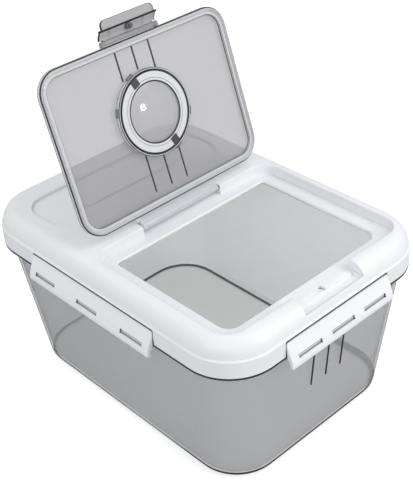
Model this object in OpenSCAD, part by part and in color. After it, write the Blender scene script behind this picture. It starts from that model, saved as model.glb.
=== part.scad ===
// Rice bin with a flip lid: a clear tapered tub, a white lid held by four slotted latches,
// and a clear flap with a pull clasp and a twist-off desiccant holder.
// Millimetres. The origin is the centre of the footprint on the table; the clasp side faces -Y.

/* [Tub] */
// Width of the rim and of the lid
bin_w = 254; // [240:1:300]
// Depth of the rim and of the lid
bin_d = 340; // [330:1:400]
// Height of the rim's upper face above the table
rim_h = 140; // [110:1:200]
// Corner radius of the rim and of the lid
corner_r = 47; // [44:1:56]
// Corner radius of the tub at its foot
foot_r = 42; // [32:1:50]
// How far the tub's wall stands inside the rim's edge
rim_reach = 6.6; // [6.4:0.1:8]
// How far each wall leans in between the rim and the foot
taper = 14.4; // [6:0.2:18]
// Wall of the tub
tub_wall = 2.4; // [1.8:0.1:3]
// Floor of the tub
tub_floor = 3; // [2:0.5:5]
// Rounding of the tub's bottom edge
foot_round = 6; // [3:0.5:8]
// Thickness of the rim
rim_t = 3.4; // [3.2:0.1:5]
// Height of the neck that enters the lid
neck_h = 8; // [6:0.5:9]

/* [Lid] */
// Wall of the lid
lid_wall = 2.6; // [2:0.1:3]
// Height of the upright skirt
skirt_h = 16; // [15.8:0.1:18]
// Step from the skirt in to the shoulder
skirt_step = 1.6; // [1:0.1:2.5]
// How far the curved shoulder reaches in from the step
shoulder_reach = 14.4; // [12:0.2:15]
// Height of the crest above the rim
crest_h = 33.5; // [32:0.5:40]
// Height of the ledge for the flap above the rim
ledge_h = 24; // [23:0.5:26]
// Distance from the lid's side to the wall of the flap's recess
recess_side = 19; // [18.5:0.5:24]
// Distance from the lid's front to the wall of the flap's recess
recess_front = 21.4; // [21:0.2:26]
// Length of the opening, front to back
opening_l = 141.2; // [120:0.2:142]
// How far the flap reaches over the opening at each side
side_cover = 14.2; // [10:0.2:20]
// How far the flap reaches over the opening at the front
front_cover = 4.7; // [4.5:0.1:8]
// Corner radius of the opening
opening_r = 12; // [8:1:16]
// Depth of the shallow pocket in the rear deck
deck_pocket = 3; // [2:0.5:4]
// Distance from the hinge axis to the deck pocket
deck_front = 43.5; // [40:0.5:50]
// Distance from the deck pocket to the lid's rear
deck_rear = 34; // [30:0.5:40]
// Height of the lid's gasket
gasket_h = 3; // [2.5:0.5:4]

/* [Flap] */
// Length of the flap from its rear edge to its front edge
flap_l = 153; // [148:1:160]
// Gap between the flap's side edge and the recess
flap_gap = 1; // [0.8:0.1:2]
// Gap between the flap's front edge and the recess
flap_front_gap = 9.1; // [8.6:0.1:11]
// Corner radius of the flap
flap_r = 16; // [12:1:22]
// Thickness of the flap's plate
flap_t = 3; // [2.4:0.1:3.4]
// Width of the flap's raised border
border_w = 7; // [6.4:0.1:10]
// Height of the flap's raised border under the plate
border_h = 2.5; // [2:0.1:3]
// Width of the flap's seal
seal_w = 3.2; // [2.4:0.1:3.6]
// Distance from the flap's rear edge to the hinge axis
hinge_arm = 11; // [10:0.5:14]
// Radius of the flap's hinge barrel
barrel_r = 3.8; // [3.2:0.1:4.4]
// Length of the flap's hinge barrel
barrel_l = 94.6; // [70:0.2:110]
// Diameter of the flap's hinge pin
hinge_pin_d = 3; // [2:0.1:3.2]
// How far the flap stands open at rest, in degrees
open_angle = 108; // [95:1:110]
// Spacing of the three accent lines
line_pitch = 19.2; // [14:0.2:24]
// Width of an accent line
line_w = 1.4; // [1:0.1:2]

/* [Clasp] */
// Width of the clasp at its barrel
clasp_w = 65; // [50:1:70]
// Distance from the flap's front edge to the clasp's axis
clasp_arm = 2.8; // [2.8:0.1:4]
// Radius of the clasp's barrel
clasp_barrel_r = 2.4; // [2:0.1:2.6]
// Distance from the clasp's axis to the end of its lip
clasp_reach = 21; // [18:0.5:22]
// Thickness of the clasp
clasp_t = 2; // [1.6:0.1:2.4]
// Diameter of the clasp's pin
clasp_pin_d = 2; // [1.4:0.1:2.2]
// Diameter of the clasp's peg
peg_d = 6; // [4:0.2:7]
// Gap at each end of the notch that the clasp closes into
notch_gap = 4; // [2:0.5:6]

/* [Latches] */
// Width of the front and the rear latch
end_latch_w = 128; // [110:1:150]
// Width of the left and the right latch
side_latch_w = 166; // [140:1:190]
// How far the side latches sit behind the middle
side_latch_shift = 4; // [0:1:10]
// Height of the latches' axis above the rim
latch_axis_h = 12; // [11.8:0.1:12.2]
// Height of a latch from its axis down to its free edge
latch_drop = 22.6; // [20:0.2:28]
// Radius of a latch's barrel
latch_barrel_r = 2.2; // [1.9:0.1:2.3]
// Diameter of a latch's pin
latch_pin_d = 2; // [1.4:0.1:2]
// Thickness of a latch's plate
latch_t = 2.7; // [2.2:0.1:3.2]
// Length of a slot in a latch
slot_l = 28.5; // [20:0.5:30]
// Height of a slot in a latch
slot_h = 4.2; // [3.8:0.1:5]
// Distance from a latch's end to its outer slot
slot_margin = 8.5; // [6:0.5:12]

/* [Desiccant holder] */
// Outer radius of the tray under the flap
tray_r = 40; // [34:0.5:44]
// Radius of the clear window in the cap
lens_r = 26.8; // [20:0.2:28]
// Height of the tray under the flap's plate
tray_h = 4.5; // [4:0.5:6]
// Wall of the tray
tray_wall = 1.8; // [1.4:0.1:2.4]
// Distance from the hinge axis to the tray's centre
tray_arm = 94; // [80:1:100]
// How far the lens bulges
lens_rise = 4; // [2:0.5:6]

/* [Hidden] */
$fn = 64;
HULL_FN = 48;          // facets round the corners of the tapered tub
CUT = 1;               // overshoot of a cutting solid
THIN = 0.02;           // thickness of a slice that only shapes a hull
RUN = 0.05;            // radial play of a pin in its bore
PLAY = 0.3;            // play between faces that move past each other
ARC_STEPS = 8;         // chords in a quarter of the shoulder

// Heights
lid_z = rim_h;
skirt_top = lid_z + skirt_h;
crest_z = lid_z + crest_h;
ledge_z = lid_z + ledge_h;
neck_top = rim_h + neck_h;
gasket_top = neck_top + gasket_h;

// Plan of the recess, the flap and the opening
recess_w = bin_w - 2 * recess_side;
flap_w = recess_w - 2 * flap_gap;
opening_w = flap_w - 2 * side_cover;
recess_y0 = -bin_d / 2 + recess_front;
flap_y0 = recess_y0 + flap_front_gap;
flap_y1 = flap_y0 + flap_l;
hinge_y = flap_y1 + hinge_arm;
opening_y0 = flap_y0 + front_cover;
opening_y1 = opening_y0 + opening_l;
hinge_clear = barrel_r + 1.1;
recess_y1 = hinge_y - hinge_clear;
recess_r = flap_r + flap_gap;

// Heights of the closed flap; its seal hangs just clear of the ledge
seal_drop = 2.4;
border_z = ledge_z + PLAY + seal_drop;
plate_z = border_z + border_h;
plate_top = plate_z + flap_t;
hinge_z = plate_top - 1.2;
seal_inset = (border_w - seal_w) / 2 - 0.7;
line_h = 0.6;

// Hinge notch in the lid
notch_wall = 1;
hinge_notch_w = barrel_l + 2 * notch_wall;
hinge_boss = 10;
hinge_boss_wall = 3;
hinge_pin_l = hinge_notch_w + 2 * (hinge_boss - hinge_boss_wall);
notch_back = hinge_y + barrel_r + 2.4;

// Clasp, closed
clasp_y = flap_y0 - clasp_arm;
clasp_z = plate_top - clasp_barrel_r;
clasp_end = clasp_y - clasp_reach;
lip_z = ledge_z + 0.6;
lip_w = clasp_w - 5;
clasp_notch_w = clasp_w + 2 * notch_gap;
lug_w = 3.2;
peg_y = clasp_y - 7.4;
peg_tip_d = peg_d * 0.6;
peg_step_z = ledge_z + 0.8;
peg_hole_floor = ledge_z - 2.6;
peg_hole_l = 7;
scoop_w = 50;
scoop_l = 4;
scoop_depth = 2.6;

// Rear deck pocket and the raised pad in it
deck_y0 = hinge_y + deck_front;
deck_y1 = bin_d / 2 - deck_rear;
deck_w = recess_w - 12;
deck_r = 24;
pad_w = 124;
pad_l = 24;
pad_h = 1.8;

// Latches: distances measured outward from the skirt's face
latch_out = -(0.6 + latch_pin_d / 2);
latch_axis_z = rim_h + latch_axis_h;
latch_low = latch_axis_z - latch_drop;
latch_belly = 3.3;
latch_r = 3;
pocket_r = 1.5;         // tighter than the latch's corner, which swings past it
pocket_depth = latch_barrel_r - latch_out + PLAY;
pocket_top = skirt_top - 0.6;
pocket_back = 1.1;
slot_z = rim_h - rim_t / 2 + 0.1;
lug_reach = 2.2;
slot_gap = 1;
latch_pin_end = 4.5;   // how far a latch's pin runs past the latch
latch_back_end = 6;    // how far the skirt's backing runs past the latch
latch_end_gap = 0.5;

// Gasket under the lid and the rib inside it, as distances in from the rim's edge
gasket_in = rim_reach - 1.2;
gasket_w = 3.8;
rib_in = gasket_in + gasket_w + 0.6;
rib_w = 1.4;
rib_drop = 1.5;
web_h = 2;

// Desiccant holder, closed
tray_y = hinge_y - tray_arm;
tray_low = plate_z - tray_h;
cap_t = 1.5;
cap_r = tray_r - tray_wall - PLAY;
cap_z = tray_low - PLAY - cap_t;
bead_r = 0.7;
grip_size = 8;
grip_angle = 112;

// The four sides in turn: latch width, distance of the skirt from the centre, shift along the side
SIDES = [[end_latch_w, bin_d / 2, 0],
         [side_latch_w, bin_w / 2, side_latch_shift],
         [end_latch_w, bin_d / 2, 0],
         [side_latch_w, bin_w / 2, -side_latch_shift]];
FRONT = 0;
RIGHT = 1;
REAR = 2;
LEFT = 3;

// ---------------------------------------------------------------- helpers

// Smooth step from 0 to 1.
function ease(t) = t * t * (3 - 2 * t);
// Value between a and b.
function mix(a, b, t) = a + (b - a) * t;

// Flat rounded rectangle, centred.
module round_rect(w, d, r) {
    square([w - 2 * r, d], center = true);
    square([w, d - 2 * r], center = true);
    for (sx = [-1, 1], sy = [-1, 1])
        translate([sx * (w / 2 - r), sy * (d / 2 - r)]) circle(r);
}

// Upright slab with a rounded-rectangle plan between two heights.
module slab(w, d, r, z0, z1) {
    translate([0, 0, z0]) linear_extrude(z1 - z0) round_rect(w, d, r);
}

// Upright slab with the rim's plan, drawn in by an inset.
module rim_slab(inset, z0, z1) {
    slab(bin_w - 2 * inset, bin_d - 2 * inset, corner_r - inset, z0, z1);
}

// Rounded-rectangle body whose outer face follows [inset, height] points from the bottom up.
module loaf(w, d, r, face) {
    low = face[0][1];
    high = face[len(face) - 1][1];
    corner = concat([[0, low]], [for (p = face) [r - p[0], p[1]]], [[0, high]]);
    for (turn = [0 : 3]) {
        sx = (turn == 0 || turn == 3) ? 1 : -1;
        sy = (turn < 2) ? 1 : -1;
        translate([sx * (w / 2 - r), sy * (d / 2 - r), 0])
            rotate([0, 0, 90 * turn]) rotate_extrude(angle = 90) polygon(corner);
    }
    rotate([90, 0, 0]) linear_extrude(d - 2 * r, center = true) polygon(both_sides(w, face));
    rotate([90, 0, 90]) linear_extrude(w - 2 * r, center = true) polygon(both_sides(d, face));
}
function both_sides(w, face) = concat(
    [for (p = face) [w / 2 - p[0], p[1]]],
    [for (i = [len(face) - 1 : -1 : 0]) [face[i][0] - w / 2, face[i][1]]]);

// Puts its children, drawn for the front with the skirt's face at y = 0, on one of the four sides.
module on_side(i) {
    rotate([0, 0, 90 * i]) translate([SIDES[i][2], -SIDES[i][1], 0]) children();
}

// Turns what is drawn for the closed flap up to its resting angle.
module opened() {
    translate([0, hinge_y, hinge_z]) rotate([-open_angle, 0, 0]) translate([0, -hinge_y, -hinge_z])
        children();
}

// Bar along X, centred on x = 0.
module bar(d, l) {
    rotate([0, 90, 0]) cylinder(d = d, h = l, center = true);
}

// ---------------------------------------------------------------- tub

function tub_inset(z) = rim_reach + taper * (1 - z / rim_h);
function tub_r(z) = mix(foot_r, corner_r - rim_reach, z / rim_h);

// Thin slice of the tub's body at one height, drawn in by an extra inset.
module tub_slice(z, extra) {
    inset = tub_inset(z) + extra;
    translate([0, 0, z]) linear_extrude(THIN)
        round_rect(bin_w - 2 * inset, bin_d - 2 * inset, tub_r(z) - extra, $fn = HULL_FN);
}

// Tapered body with a rounded bottom edge, from z0 up, drawn in by an extra inset.
module tub_body(z0, z1, extra, edge) {
    hull() {
        for (a = [0 : 22.5 : 90])
            tub_slice(z0 + edge * (1 - cos(a)), extra + edge * (1 - sin(a)));
        tub_slice(z1 - THIN, extra);
    }
}

// Lugs on the rim that fill the slots of one latch.
module rim_lugs(w) {
    for (k = [-1 : 1])
        translate([k * slot_pitch(w) - slot_l / 2 + slot_gap, -lug_reach, rim_h - rim_t + 0.4])
            cube([slot_l - 2 * slot_gap, lug_reach + rim_t, rim_t - 0.9]);
}
function slot_pitch(w) = (w - slot_l) / 2 - slot_margin;

// Three accent lines down the front wall.
module front_lines() {
    lean = atan(taper / rim_h);
    line_low = 72;
    for (k = [-1 : 1])
        translate([k * line_pitch, -bin_d / 2 + tub_inset(line_low), line_low])
            rotate([lean, 0, 0]) translate([-line_w / 2, -line_h, 0])
                cube([line_w, 2 * line_h, rim_h - rim_t - line_low]);
}

module tub() {
    color([0.62, 0.63, 0.65, 0.45]) difference() {
        union() {
            tub_body(0, neck_top, 0, foot_round);
            rim_slab(0, rim_h - rim_t, rim_h);
            for (i = [0 : 3]) on_side(i) rim_lugs(SIDES[i][0]);
            front_lines();
        }
        tub_body(tub_floor, neck_top + CUT, tub_wall, foot_round - tub_wall);
    }
}

// ---------------------------------------------------------------- lid

// Outer face of the lid: skirt, step and elliptical shoulder, drawn in by the wall where wanted.
function lid_face(wall, z0) =
    let (rise = crest_z - skirt_top - 1)
    concat(
        [[wall, z0], [wall, skirt_top - wall / 2], [skirt_step + wall, skirt_top + 1 - wall / 2]],
        [for (i = [1 : ARC_STEPS]) let (a = 90 * i / ARC_STEPS)
            [skirt_step + shoulder_reach - (shoulder_reach - wall) * cos(a),
             skirt_top + 1 - wall / 2 + (rise - wall / 2) * sin(a)]]);

// Body under the recess, the hinge notch, the clasp notch and the deck pocket.
module lid_pan() {
    recess_plan(lid_wall, ledge_z - lid_wall, crest_z);
    translate([-hinge_notch_w / 2 - hinge_boss, recess_y1 - CUT, ledge_z - lid_wall])
        cube([hinge_notch_w + 2 * hinge_boss, notch_back - recess_y1 + lid_wall + CUT,
              crest_z - ledge_z + lid_wall]);
    translate([-clasp_notch_w / 2 - lid_wall, -bin_d / 2, ledge_z - 2 * lid_wall])
        cube([clasp_notch_w + 2 * lid_wall, recess_front + lid_wall, crest_z - ledge_z + lid_wall]);
    deck_plan(lid_wall, crest_z - deck_pocket - lid_wall, crest_z);
}

// Plan of the flap's recess, grown by some margin, between two heights.
module recess_plan(grow, z0, z1) {
    translate([0, (recess_y0 + recess_y1) / 2, 0])
        slab(recess_w + 2 * grow, recess_y1 - recess_y0 + 2 * grow, recess_r + grow, z0, z1);
}

// Recess for the flap, with a leaning wall and a rounded upper edge.
module recess_cut() {
    flare = 1.6;
    lean = 0.8;
    depth = crest_z - ledge_z;
    face = concat([[lean + flare, ledge_z], [flare, ledge_z + depth - flare]],
                  [for (a = [22.5 : 22.5 : 90])
                      [flare * cos(a), ledge_z + depth - flare * (1 - sin(a))]],
                  [[0, crest_z + CUT]]);
    grow = lean + flare;
    translate([0, (recess_y0 + recess_y1) / 2, 0])
        loaf(recess_w + 2 * grow, recess_y1 - recess_y0 + 2 * grow, recess_r + grow, face);
}

// Shallow pocket in the rear deck.
module deck_plan(grow, z0, z1) {
    translate([0, (deck_y0 + deck_y1) / 2, 0])
        slab(deck_w + 2 * grow, deck_y1 - deck_y0 + 2 * grow, deck_r + grow, z0, z1);
}

// Pocket in the skirt for one latch, with rounded upper corners.
module latch_pocket(w) {
    rotate([90, 0, 0]) translate([0, 0, -pocket_depth]) linear_extrude(pocket_depth + CUT)
        latch_outline(w + 2 * latch_end_gap, lid_z - CUT, pocket_top, pocket_r);
}

// Bore through the skirt at both ends of one latch.
module latch_bore(w) {
    translate([0, -latch_out, latch_axis_z]) bar(latch_pin_d + 2 * RUN, w + 2 * latch_pin_end + CUT);
}

// Channel under the lid that holds the gasket: a web over it and a rib inside it.
module gasket_channel() {
    rib_low = neck_top - rib_drop;
    difference() {
        rim_slab(CUT, gasket_top, gasket_top + web_h);
        rim_slab(rib_in + rib_w, gasket_top - CUT, gasket_top + web_h + CUT);
    }
    difference() {
        rim_slab(rib_in, rib_low, gasket_top);
        rim_slab(rib_in + rib_w, rib_low - CUT, gasket_top + CUT);
    }
}

// Notch, peg hole and finger scoop for the clasp.
module clasp_notch() {
    translate([-clasp_notch_w / 2, -bin_d / 2 - CUT, ledge_z])
        cube([clasp_notch_w, recess_front + 3 * CUT, crest_z - ledge_z + CUT]);
    translate([0, peg_y + peg_tip_d / 2 + 0.5 - peg_hole_l / 2, 0])
        slab(peg_tip_d + 1.2, peg_hole_l, (peg_tip_d + 1) / 2 - 0.2, peg_hole_floor, ledge_z + CUT);
    translate([0, clasp_end, 0])
        slab(scoop_w, scoop_l, 1.5, ledge_z - scoop_depth, ledge_z + CUT);
}

module lid() {
    color([0.95, 0.96, 0.97]) difference() {
        union() {
            difference() {
                loaf(bin_w, bin_d, corner_r, lid_face(0, lid_z));
                difference() {
                    loaf(bin_w, bin_d, corner_r, lid_face(lid_wall, lid_z - CUT));
                    lid_pan();
                    for (i = [0 : 3]) on_side(i)
                        translate([-SIDES[i][0] / 2 - latch_back_end, CUT, lid_z])
                            cube([SIDES[i][0] + 2 * latch_back_end,
                                  pocket_depth + pocket_back - CUT, skirt_h]);
                    gasket_channel();
                }
                recess_cut();
                translate([0, (opening_y0 + opening_y1) / 2, 0])
                    slab(opening_w, opening_l, opening_r, lid_z, crest_z);
                deck_plan(0, crest_z - deck_pocket, crest_z + CUT);
                translate([-hinge_notch_w / 2, recess_y1 - 2 * CUT, ledge_z])
                    cube([hinge_notch_w, notch_back - recess_y1 + 2 * CUT, crest_z - ledge_z + CUT]);
                clasp_notch();
            }
            translate([0, (deck_y0 + deck_y1) / 2, 0])
                slab(pad_w, pad_l, pad_l / 2 - 0.5, crest_z - deck_pocket, crest_z - deck_pocket + pad_h);
        }
        translate([0, hinge_y, hinge_z]) bar(hinge_pin_d + 2 * RUN, hinge_pin_l);
        for (i = [0 : 3]) on_side(i) {
            latch_pocket(SIDES[i][0]);
            latch_bore(SIDES[i][0]);
        }
    }
}

module lid_gasket() {
    color([0.9, 0.9, 0.9]) difference() {
        rim_slab(gasket_in, neck_top, gasket_top);
        rim_slab(gasket_in + gasket_w, neck_top - CUT, gasket_top + CUT);
    }
}

// ---------------------------------------------------------------- flap

// Plan of the closed flap, drawn in by an inset, between two heights.
module flap_plan(inset, z0, z1) {
    translate([0, (flap_y0 + flap_y1) / 2, 0])
        slab(flap_w - 2 * inset, flap_l - 2 * inset, flap_r - inset, z0, z1);
}

// Accent lines on the flap's upper face, broken at the desiccant holder.
module flap_lines() {
    start = flap_y0 + 8;
    stop = hinge_y - 23;
    difference() {
        for (k = [-1 : 1])
            translate([k * line_pitch - line_w / 2, start, plate_top - line_h])
                cube([line_w, stop - start, 2 * line_h]);
        translate([0, tray_y, plate_top - 2 * line_h]) cylinder(r = tray_r, h = 4 * line_h);
    }
}

// Ears at the flap's front edge that hold the clasp's pin.
module clasp_ears() {
    for (s = [-1, 1])
        translate([s * (clasp_w / 2 + PLAY + lug_w / 2), 0, 0]) {
            translate([0, clasp_y, clasp_z]) bar(2 * clasp_barrel_r, lug_w);
            translate([-lug_w / 2, clasp_y, clasp_z - clasp_barrel_r])
                cube([lug_w, clasp_arm + CUT, 2 * clasp_barrel_r]);
        }
}

module flap() {
    color([0.6, 0.61, 0.63, 0.4]) opened() difference() {
        union() {
            flap_plan(0, plate_z, plate_top);
            difference() {
                flap_plan(0, border_z, plate_z + THIN);
                flap_plan(border_w, border_z - CUT, plate_z);
                difference() {
                    flap_plan(seal_inset, border_z - CUT, plate_z);
                    flap_plan(seal_inset + seal_w, border_z - 2 * CUT, plate_z + CUT);
                }
            }
            translate([-barrel_l / 2, flap_y1 - CUT, plate_z - 0.4])
                cube([barrel_l, hinge_arm + CUT, flap_t + 0.4]);
            translate([0, hinge_y, hinge_z]) bar(2 * barrel_r, barrel_l);
            flap_lines();
            clasp_ears();
        }
        translate([0, hinge_y, hinge_z]) bar(hinge_pin_d + 2 * RUN, barrel_l + CUT);
        translate([0, clasp_y, clasp_z]) bar(clasp_pin_d + 2 * RUN, clasp_w + 2 * (lug_w - 0.8));
    }
}

// Hollow-lipped seal: a body in the border's groove and a narrower lip towards the ledge.
module flap_seal() {
    lip = 0.8;
    color([0.9, 0.91, 0.92]) opened() {
        difference() {
            flap_plan(seal_inset, border_z - 0.6, plate_z);
            flap_plan(seal_inset + seal_w, border_z - CUT, plate_z + CUT);
        }
        difference() {
            flap_plan(seal_inset + lip, border_z - seal_drop, border_z - 0.6);
            flap_plan(seal_inset + seal_w - lip, border_z - seal_drop - CUT, border_z);
        }
    }
}

module flap_hinge_pin() {
    color([0.35, 0.36, 0.38])
        translate([0, hinge_y, hinge_z]) bar(hinge_pin_d, hinge_pin_l - 1);
}

// ---------------------------------------------------------------- clasp

// Height of the clasp's upper face at a distance out from its axis.
function clasp_top(u) = let (t = min(max((u - 3.5) / 10, 0), 1))
    mix(plate_top + 0.2, lip_z + clasp_t, ease(t));

// Side view of the clasp's curved plate between two distances out, raised by some amount.
function clasp_side(raise, u0, u1) = concat(
    [for (u = [u0 : 1 : u1]) [clasp_y - u, clasp_top(u) + raise]],
    [for (u = [u1 : -1 : u0]) [clasp_y - u, clasp_top(u) - clasp_t]]);

// Extrudes a side view given in [y, z] along X, centred.
module along_x(w) {
    rotate([90, 0, 90]) linear_extrude(w, center = true) children();
}

module clasp() {
    plate_end = clasp_reach - 9;
    color([0.6, 0.61, 0.63, 0.4]) opened() difference() {
        union() {
            translate([0, clasp_y, clasp_z]) bar(2 * clasp_barrel_r, clasp_w);
            along_x(clasp_w) polygon(clasp_side(0, 0, plate_end));
            intersection() {
                along_x(lip_w) polygon(clasp_side(0, 0, clasp_reach));
                translate([0, clasp_end + clasp_reach, 0])
                    slab(lip_w, 2 * clasp_reach, 5, lip_z - CUT, plate_top + CUT);
            }
            along_x(clasp_w) translate([clasp_y - plate_end - 1, lip_z]) square([1.6, clasp_t + 0.9]);
            for (k = [-1 : 1]) translate([k * line_pitch, 0, 0])
                along_x(line_w) polygon(clasp_side(line_h, 3, plate_end));
        }
        translate([0, clasp_y, clasp_z]) bar(clasp_pin_d + 2 * RUN, clasp_w + CUT);
        peg_solid(RUN);
    }
}

module clasp_pin() {
    color([0.35, 0.36, 0.38])
        opened() translate([0, clasp_y, clasp_z]) bar(clasp_pin_d, clasp_w + 2 * (lug_w - 1));
}

// Peg with a head in the clasp's plate and a narrower tip; grow widens it for its seat.
module peg_solid(grow) {
    head_top = clasp_top(clasp_y - peg_y) - clasp_t / 2;
    translate([0, peg_y, peg_hole_floor + 0.8])
        cylinder(d = peg_tip_d + 2 * grow, h = peg_step_z - peg_hole_floor);
    translate([0, peg_y, peg_step_z]) cylinder(d = peg_d + 2 * grow, h = head_top - peg_step_z);
}

module clasp_peg() {
    color([0.5, 0.51, 0.53]) opened() peg_solid(0);
}

// ---------------------------------------------------------------- latches

// Front view of a latch: [x, z] outline with rounded upper corners.
module latch_outline(w, z0, z1, r) {
    translate([-w / 2, z0]) square([w, z1 - z0 - r]);
    translate([-w / 2 + r, z0]) square([w - 2 * r, z1 - z0]);
    for (s = [-1, 1]) translate([s * (w / 2 - r), z1 - r]) circle(r);
}

// How far the latch's outer face stands out at a share t of the way down from its axis.
function latch_face(t) = mix(latch_out + latch_barrel_r, latch_belly, sin(90 * t));

// Side view of a latch's plate: [outward, z] points.
function latch_side() = concat(
    [for (t = [0 : 0.125 : 1]) [latch_face(t), latch_axis_z - t * (latch_drop - 1)]],
    [[latch_belly - 0.6, latch_low], [latch_belly - latch_t + 0.4, latch_low]],
    [[latch_belly - latch_t, latch_low + 1], [latch_belly - latch_t, rim_h + 1.5],
     [latch_out, latch_axis_z]]);

module latch(i) {
    w = SIDES[i][0];
    color([0.95, 0.96, 0.97]) on_side(i) difference() {
        intersection() {
            union() {
                rotate([90, 0, -90]) linear_extrude(w, center = true) polygon(latch_side());
                translate([0, -latch_out, latch_axis_z]) bar(2 * latch_barrel_r, w);
            }
            rotate([90, 0, 0]) translate([0, 0, -10]) linear_extrude(20)
                latch_outline(w, latch_low - CUT, latch_axis_z + latch_barrel_r, latch_r);
        }
        translate([0, -latch_out, latch_axis_z]) bar(latch_pin_d + 2 * RUN, w + CUT);
        for (k = [-1 : 1])
            translate([k * slot_pitch(w) - slot_l / 2, -latch_belly - CUT, slot_z - slot_h / 2])
                cube([slot_l, latch_belly + 2 * CUT, slot_h]);
    }
}

module latch_pin(i) {
    color([0.8, 0.81, 0.82]) on_side(i)
        translate([0, -latch_out, latch_axis_z]) bar(latch_pin_d, SIDES[i][0] + 2 * latch_pin_end);
}

// ---------------------------------------------------------------- desiccant holder

// Ring between two radii and two heights, about the holder's axis.
module ring(r0, r1, z0, z1) {
    translate([0, tray_y, z0]) difference() {
        cylinder(r = r1, h = z1 - z0);
        translate([0, 0, -CUT]) cylinder(r = r0, h = z1 - z0 + 2 * CUT);
    }
}

// Tray fixed under the flap: floor ring, two walls and two bayonet lugs outside.
module desiccant_tray() {
    color([0.8, 0.82, 0.84, 0.5]) opened() {
        ring(lens_r, tray_r, plate_z - 1.4, plate_z);
        ring(tray_r - tray_wall, tray_r, tray_low, plate_z - 1.4);
        ring(lens_r, lens_r + tray_wall, tray_low, plate_z - 1.4);
        for (a = [grip_angle, grip_angle + 45, grip_angle + 180, grip_angle + 225])
            translate([0, tray_y, tray_low + 1]) rotate([0, 0, a])
                translate([tray_r - 0.6, -4, 0]) cube([2.6, 8, 2]);
    }
}

// Cap that covers the tray's channel and turns in its outer wall.
module desiccant_cap() {
    color([0.85, 0.86, 0.88, 0.5]) opened() difference() {
        union() {
            ring(lens_r - 1.4, cap_r, cap_z, cap_z + cap_t);
            ring(cap_r - tray_wall, cap_r, cap_z + cap_t, plate_z - 1.4 - PLAY);
            ring(lens_r - 1.4, lens_r - PLAY, cap_z + cap_t, cap_z + cap_t + 2);
        }
        for (s = [0, 180])
            translate([0, tray_y, cap_z - CUT]) rotate([0, 0, grip_angle + s])
                translate([(lens_r + cap_r) / 2 - grip_size / 2 + 0.4, -grip_size / 2, 0])
                    cube([grip_size, grip_size, CUT + 0.7]);
    }
}

// Domed clear window held in the cap.
module cap_lens() {
    r = lens_r - 1.4;
    ball = (r * r + lens_rise * lens_rise) / (2 * lens_rise);
    t = 1.2;
    color([0.9, 0.92, 0.94, 0.4]) opened() translate([0, tray_y, cap_z + cap_t])
        intersection() {
            translate([0, 0, ball - lens_rise - t]) difference() {
                sphere(r = ball);
                sphere(r = ball - t);
            }
            translate([0, 0, -lens_rise - 2 * t]) cylinder(r = r, h = lens_rise + 2 * t);
        }
}

module cap_o_ring() {
    color([0.2, 0.2, 0.22]) opened()
        translate([0, tray_y, cap_z + cap_t + bead_r]) rotate_extrude()
            translate([lens_r + tray_wall + bead_r + PLAY + 1, 0]) circle(bead_r);
}

// Two square grips set in the cap's face.
module cap_grips() {
    color([0.35, 0.35, 0.36]) opened()
        for (s = [0, 180])
            translate([0, tray_y, cap_z - 0.5]) rotate([0, 0, grip_angle + s])
                translate([(lens_r + cap_r) / 2 - grip_size / 2 + 0.4, -grip_size / 2, 0])
                    cube([grip_size, grip_size, 0.5 + 0.7]);
}

// ---------------------------------------------------------------- nodes

tub();
lid();
lid_gasket();
flap();
flap_seal();
flap_hinge_pin();
clasp();
clasp_pin();
clasp_peg();
latch(FRONT);  // latch_front
latch(RIGHT);  // latch_right
latch(REAR);  // latch_rear
latch(LEFT);  // latch_left
latch_pin(FRONT);  // latch_pin_front
latch_pin(RIGHT);  // latch_pin_right
latch_pin(REAR);  // latch_pin_rear
latch_pin(LEFT);  // latch_pin_left
desiccant_tray();
desiccant_cap();
cap_lens();
cap_o_ring();
cap_grips();
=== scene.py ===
"""Looks of a rice bin with a flip lid.

A clear tub, a white latched lid, and a clear flap with its clasp and desiccant holder.
"""

from __future__ import annotations

import logging
import math
from dataclasses import dataclass, replace
from enum import Enum
from functools import cache
from typing import Callable, NamedTuple, Sequence, Union

import bmesh
import bpy
import numpy as np
from mathutils import Matrix, Vector


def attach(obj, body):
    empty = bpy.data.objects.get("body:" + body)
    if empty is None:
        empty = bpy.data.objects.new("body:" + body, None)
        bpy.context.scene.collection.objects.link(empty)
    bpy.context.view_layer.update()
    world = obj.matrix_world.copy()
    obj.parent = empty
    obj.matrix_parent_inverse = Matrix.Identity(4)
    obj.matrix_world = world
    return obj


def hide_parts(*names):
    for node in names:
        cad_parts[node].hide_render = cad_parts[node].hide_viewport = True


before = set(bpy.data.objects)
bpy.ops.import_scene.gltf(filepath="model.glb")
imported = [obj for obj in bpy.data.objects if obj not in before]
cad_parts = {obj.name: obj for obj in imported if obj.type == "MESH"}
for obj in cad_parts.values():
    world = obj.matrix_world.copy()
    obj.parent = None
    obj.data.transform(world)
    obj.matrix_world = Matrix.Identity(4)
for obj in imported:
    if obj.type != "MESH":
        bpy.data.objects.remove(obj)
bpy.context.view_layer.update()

log = logging.getLogger("rice_bin")

MM = 0.001
EDGE = "edge"  # point attribute of clear plastic: 0 on its faces, BAND along pale bands, LINE on painted dark lines, which are shade painted along an edge
BAND = 0.5
LINE = 1.0
SHARP = 0.01  # radius of a corner that stays sharp
CORE = 0.05  # radius at which a turned profile stops short of its axis
SMOOTH_DEG = 35.0  # faces that meet at less than this are shaded as one

HINGE = (24.5, 171.0)  # y and z of the flap's hinge
OPEN_DEG = 108.0
LINE_PITCH = 19.2  # from one accent line to the next
LINE_W = 1.4
SLOT_L = 28.5
SLOT_MARGIN = 8.5  # from a latch's end to its outer slot
THREE = (-1.0, 0.0, 1.0)
PAIR = (-1.0, 1.0)

Colour = tuple[float, float, float]
Spot = tuple[float, float]
Piece = bpy.types.Object
Numbers = Union[np.ndarray, float]
Corner = tuple[float, float, float]
NEAR_BLACK: Colour = (0.02, 0.02, 0.022)
ORIGIN: Spot = (0.0, 0.0)


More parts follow.
